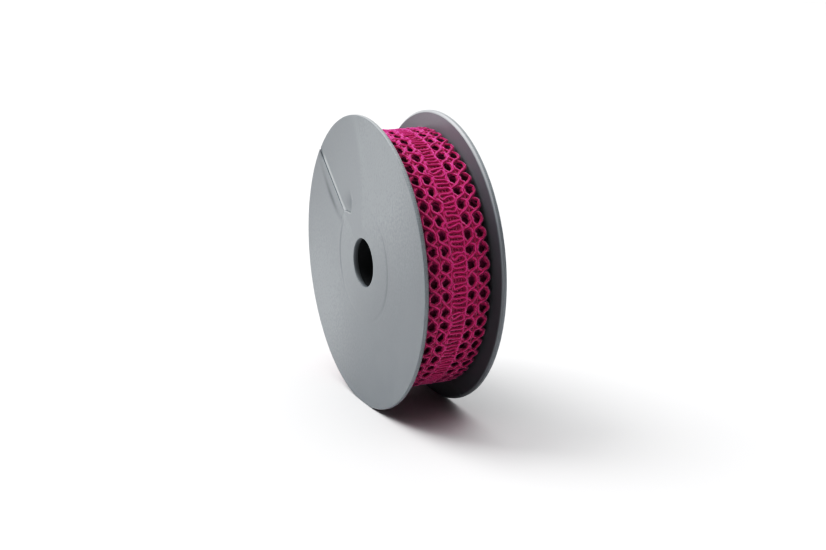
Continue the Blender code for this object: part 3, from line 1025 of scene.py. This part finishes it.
def thread_mesh(name, winding, threads, section, per_segment):
    """Threads laid on the roll, each as a closed tube of this section. Its UVs run by twists of the yarn
    and round the tube."""
    points, faces, uvs, ridges = [], [], [], []
    start = 0
    sides = len(section)
    column = np.arange(sides)
    ridge = np.array([point.ridge for point in section])
    for flat, strength in threads:
        line = winding.laid(eased_line(flat, per_segment))
        run = np.concatenate([[0.0], np.cumsum(np.linalg.norm(np.diff(line, axis=0), axis=1))])
        run /= winding.lace.twist
        points.append(thread_rings(line, run, section))
        # Painted shade of the flanges dims the ridge's painted highlight near the lace's edges
        past_posts = smooth_step(*EDGE_DIMS, np.abs(line[:, 0] - LACE_MIDDLE_X) / MM)
        ridges.append(np.outer(strength * (1.0 - EDGE_DIMMING * past_posts), ridge).ravel())
        rows = start + np.arange(len(line) - 1)[:, None] * sides
        here, near = rows + column, rows + (column + 1) % sides
        faces += np.stack([here, near, near + sides, here + sides], axis=-1).reshape(-1, 4).tolist()
        low, turn = np.broadcast_arrays(run[:-1, None], column / sides)
        far = np.broadcast_to(run[1:, None], low.shape)
        after = turn + 1.0 / sides
        corner = np.stack([low, turn, low, after, far, after, far, turn], axis=-1)
        uvs.append(corner.reshape(-1, 2))
        last = start + (len(line) - 1) * sides
        faces.append(list(range(start + sides - 1, start - 1, -1)))
        faces.append(list(range(last, last + sides)))
        uvs.append(np.full((sides, 2), (run[0], 0.0)))
        uvs.append(np.full((sides, 2), (run[-1], 0.0)))
        start += len(line) * sides
    mesh = mesh_of(name, np.concatenate(points), faces, np.concatenate(uvs))
    set_field(mesh, "ridge", np.concatenate(ridges))
    return mesh


def winding_mesh(name, lace, outer_radius, half_width):
    """The turns under the open ones, as one ring whose sides are ridged by the edges of its layers."""
    columns = 2 * lace.eyelets
    layers = int((outer_radius - HUB_RADIUS) / lace.layer)
    inner_radius = HUB_RADIUS + WINDING_OFF_HUB
    layer = (outer_radius - inner_radius) / layers
    right = []
    for count in range(layers):
        low = inner_radius + layer * count
        right += [(half_width - WINDING_GROOVE, low), (half_width, low + layer / 2)]
    right.append((half_width - WINDING_CORNER, outer_radius))
    right += [(half_width * share, outer_radius) for share in (0.75, 0.5, 0.25, 0.0)]
    section = right + [(-x, radius) for x, radius in reversed(right[:-1])]
    points, faces, uvs = [], [], []
    degrees = 360.0 * np.arange(columns) / columns
    rng = np.random.default_rng(WINDING_SEED)
    for x, radius in section:
        uneven = rng.normal(0.0, WINDING_UNEVEN, columns)
        points.append(round_axis(LACE_MIDDLE_X + x + uneven, radius + uneven, degrees))
    for ring in range(len(section)):
        here, beyond = ring * columns, (ring + 1) % len(section) * columns
        for column in range(columns):
            after = (column + 1) % columns
            faces.append([here + column, here + after, beyond + after, beyond + column])
            uvs += [(column, ring), (column + 1, ring), (column + 1, ring + 1), (column, ring + 1)]
    return mesh_of(name, np.concatenate(points), faces, uvs)


class LACEREEL_OT_stage(bpy.types.Operator):
    """Lay the pale floor, light it softly from behind, and place the camera"""

    bl_idname = "lacereel.stage"
    bl_label = "Stage"

    def execute(self, context):
        stage = context.scene.lacereel_stage
        mesh = bpy.data.meshes.new("floor")
        corners = [(x * FLOOR_HALF, y * FLOOR_HALF, 0.0) for x, y in ((-1, -1), (1, -1), (1, 1), (-1, 1))]
        mesh.from_pydata(corners, [], [(0, 1, 2, 3)])
        mesh.materials.append(self.floor_material(stage))
        floor = bpy.data.objects.new("floor", mesh)
        context.scene.collection.objects.link(floor)
        self.add_key(context, stage)
        self.add_sky(context, stage)
        self.add_camera(context)
        self.set_contrast(context.scene.view_settings)
        return {"FINISHED"}

    def set_contrast(self, view):
        """The plain view of the colours, with the contrast of the picture on top."""
        view.view_transform = "Standard"
        view.use_curve_mapping = True
        for low, high in CONTRAST_POINTS:
            view.curve_mapping.curves[COMBINED_CURVE].points.new(low, high)
        view.curve_mapping.update()

    def floor_material(self, stage):
        material, graph, shader = new_material("floor_paper")
        place = graph.add("ShaderNodeTexCoord").outputs["Object"]
        dim = tuple(value * FLOOR_DIM for value in stage.floor_colour)
        tone = graph.noise(place, FLOOR_PATCHES, 2.0)
        graph.feed(shader, "Base Color", graph.mix(tone, stage.floor_colour, dim))
        graph.feed(shader, "Roughness", 0.9)
        return material

    def add_key(self, context, stage):
        light = bpy.data.lights.new("key_light", "AREA")
        light.energy = stage.key_power
        light.size = stage.key_size
        lamp = bpy.data.objects.new("key_light", light)
        towards = Vector(TOWARDS_KEY).normalized()
        lamp.location = Vector((0.0, 0.0, AXIS_HEIGHT)) + towards * stage.key_distance
        lamp.rotation_euler = towards.to_track_quat("Z", "Y").to_euler()
        context.scene.collection.objects.link(lamp)

    def add_sky(self, context, stage):
        """White surroundings, bright overhead and behind the reel. The camera itself sees them pale all
        round."""
        world = bpy.data.worlds.new("white_surroundings")
        world.use_nodes = True
        graph = Graph(world.node_tree)
        towards = graph.add("ShaderNodeTexCoord").outputs["Generated"]
        rise = graph.add("ShaderNodeSeparateXYZ", Vector=towards).outputs["Z"]
        facing = graph.add("ShaderNodeVectorMath", {"operation": "DOT_PRODUCT"})
        graph.feed(facing, 0, towards)
        graph.feed(facing, 1, Vector(TOWARDS_BACKDROP).normalized())
        shares = (
            (rise, SKY_POWER, stage.sky),
            (facing.outputs["Value"], BACKDROP_POWER, stage.backdrop),
        )
        lit = stage.horizon
        for share, power, brightness in shares:
            faded = graph.math("POWER", graph.math("MAXIMUM", share, 0.0), power)
            lit = graph.math("MULTIPLY_ADD", faded, brightness, lit)
        seen = graph.add("ShaderNodeLightPath").outputs["Is Camera Ray"]
        background = world.node_tree.nodes["Background"]
        graph.feed(background, "Color", (1.0, 1.0, 1.0))
        graph.feed(background, "Strength", graph.math("MAXIMUM", lit, seen))
        context.scene.world = world

    def add_camera(self, context):
        back, right = Vector(CAMERA_BACK), Vector(CAMERA_RIGHT)
        up = back.cross(right)
        camera = bpy.data.objects.new("camera", bpy.data.cameras.new("camera"))
        camera.data.sensor_width = CAMERA_SENSOR
        camera.data.lens = CAMERA_SENSOR * FOCAL_PIXELS / IMAGE_WIDTH
        rotation = Matrix((right, up, back)).transposed()
        camera.matrix_world = Matrix.Translation(CAMERA_PLACE) @ rotation.to_4x4()
        context.scene.collection.objects.link(camera)
        context.scene.camera = camera


class LACEREEL_OT_flanges(bpy.types.Operator):
    """Mould the two dished flanges with their bevelled rims and thread-catch slits"""

    bl_idname = "lacereel.flanges"
    bl_label = "Flanges"

    def execute(self, context):
        reel = context.scene.lacereel_reel
        material = plastic_material("reel_plastic", reel, reel.colour, FLANGE_LOOK, with_ribs=True)
        for node, outward, slit in (("flange_front", -1, FRONT_SLIT), ("flange_rear", 1, REAR_SLIT)):
            name = node + "_moulding"
            add_piece(name, FlangeShape(reel, outward, slit).mesh(name), material, node)
        return {"FINISHED"}


class LACEREEL_OT_hub(bpy.types.Operator):
    """Give the bored hub its moulded plastic finish, near black as painted shade inside the bore"""

    bl_idname = "lacereel.hub"
    bl_label = "Hub finish"

    def execute(self, context):
        reel = context.scene.lacereel_reel
        material = plastic_material("hub_plastic", reel, reel.bore_shade_colour, HUB_LOOK, with_ribs=False)
        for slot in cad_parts["hub"].material_slots:
            slot.material = material
        return {"FINISHED"}


class LACEREEL_OT_outer_turn(bpy.types.Operator):
    """Lay the threads of the outer turn of lace: a net on each side and the ladder between them"""

    bl_idname = "lacereel.outer_turn"
    bl_label = "Outer turn"

    def execute(self, context):
        winding = LaceWinding(context.scene.lacereel_lace, 0, 0.0)
        yarn = yarn_material("lace_yarn", winding.lace, OUTER_YARN)
        groups = (
            ("lace_net_front", winding.net_threads(-1), 2),
            ("lace_net_rear", winding.net_threads(1), 2),
            ("lace_ladder", winding.ladder_threads(), 3),
        )
        for name, threads, per_segment in groups:
            mesh = thread_mesh(name, winding, threads, YARN_SECTION, per_segment)
            add_piece(name, mesh, yarn, "lace_roll")
        return {"FINISHED"}


class LACEREEL_OT_under_turns(bpy.types.Operator):
    """Lay the two turns of lace that show through the eyelets of the outer one"""

    bl_idname = "lacereel.under_turns"
    bl_label = "Turns below"

    def execute(self, context):
        lace = context.scene.lacereel_lace
        for turn, name, look in ((1, "lace_second_turn", SECOND_YARN), (2, "lace_third_turn", THIRD_YARN)):
            winding = LaceWinding(lace, turn * lace.eyelets, TURN_SLIP)
            threads = winding.net_threads(-1) + winding.net_threads(1) + winding.ladder_threads()
            mesh = thread_mesh(name, winding, threads, YARN_SECTION[::2], 2)
            add_piece(name, mesh, yarn_material(name + "_yarn", lace, look), "lace_roll")
        return {"FINISHED"}


class LACEREEL_OT_winding(bpy.types.Operator):
    """Fill the reel below the open turns with the close winding of the lace"""

    bl_idname = "lacereel.winding"
    bl_label = "Close winding"

    def execute(self, context):
        lace = context.scene.lacereel_lace
        name = "lace_close_winding"
        outer_radius = lace.outer_radius - TURNS_ABOVE_WINDING * lace.layer
        half_width = (LACE_HIGH.x - LACE_LOW.x) / 2 - WINDING_INSET
        mesh = winding_mesh(name, lace, outer_radius, half_width)
        add_piece(name, mesh, yarn_material("lace_close_yarn", lace, CLOSE_YARN), "lace_roll")
        return {"FINISHED"}


PIECE_OPERATORS = (
    LACEREEL_OT_stage,
    LACEREEL_OT_flanges,
    LACEREEL_OT_hub,
    LACEREEL_OT_outer_turn,
    LACEREEL_OT_under_turns,
    LACEREEL_OT_winding,
)


class LACEREEL_PT_panel(bpy.types.Panel):
    """Settings and steps of the lace reel"""

    bl_label = "Lace reel"
    bl_idname = "LACEREEL_PT_panel"
    bl_space_type = "VIEW_3D"
    bl_region_type = "UI"
    bl_category = "Lace reel"

    def draw(self, context):
        for title, name, _ in SETTINGS:
            box = self.layout.box()
            box.label(text=title)
            settings = getattr(context.scene, name)
            for field in settings.__annotations__:
                box.prop(settings, field)
        for operator in PIECE_OPERATORS:
            self.layout.operator(operator.bl_idname)


SETTINGS = (
    ("Reel", "lacereel_reel", ReelSettings),
    ("Lace", "lacereel_lace", LaceSettings),
    ("Stage", "lacereel_stage", StageSettings),
)


def register():
    for _, name, made in SETTINGS:
        bpy.utils.register_class(made)
        setattr(bpy.types.Scene, name, PointerProperty(type=made))
    for made in (*PIECE_OPERATORS, LACEREEL_PT_panel):
        bpy.utils.register_class(made)


def unregister():
    for made in (LACEREEL_PT_panel, *reversed(PIECE_OPERATORS)):
        bpy.utils.unregister_class(made)
    for _, name, made in reversed(SETTINGS):
        delattr(bpy.types.Scene, name)
        bpy.utils.unregister_class(made)


def main():
    register()
    bpy.ops.lacereel.stage()
    bpy.ops.lacereel.flanges()
    bpy.ops.lacereel.hub()
    bpy.ops.lacereel.outer_turn()
    bpy.ops.lacereel.under_turns()
    bpy.ops.lacereel.winding()


if __name__ == "__main__":
    main()
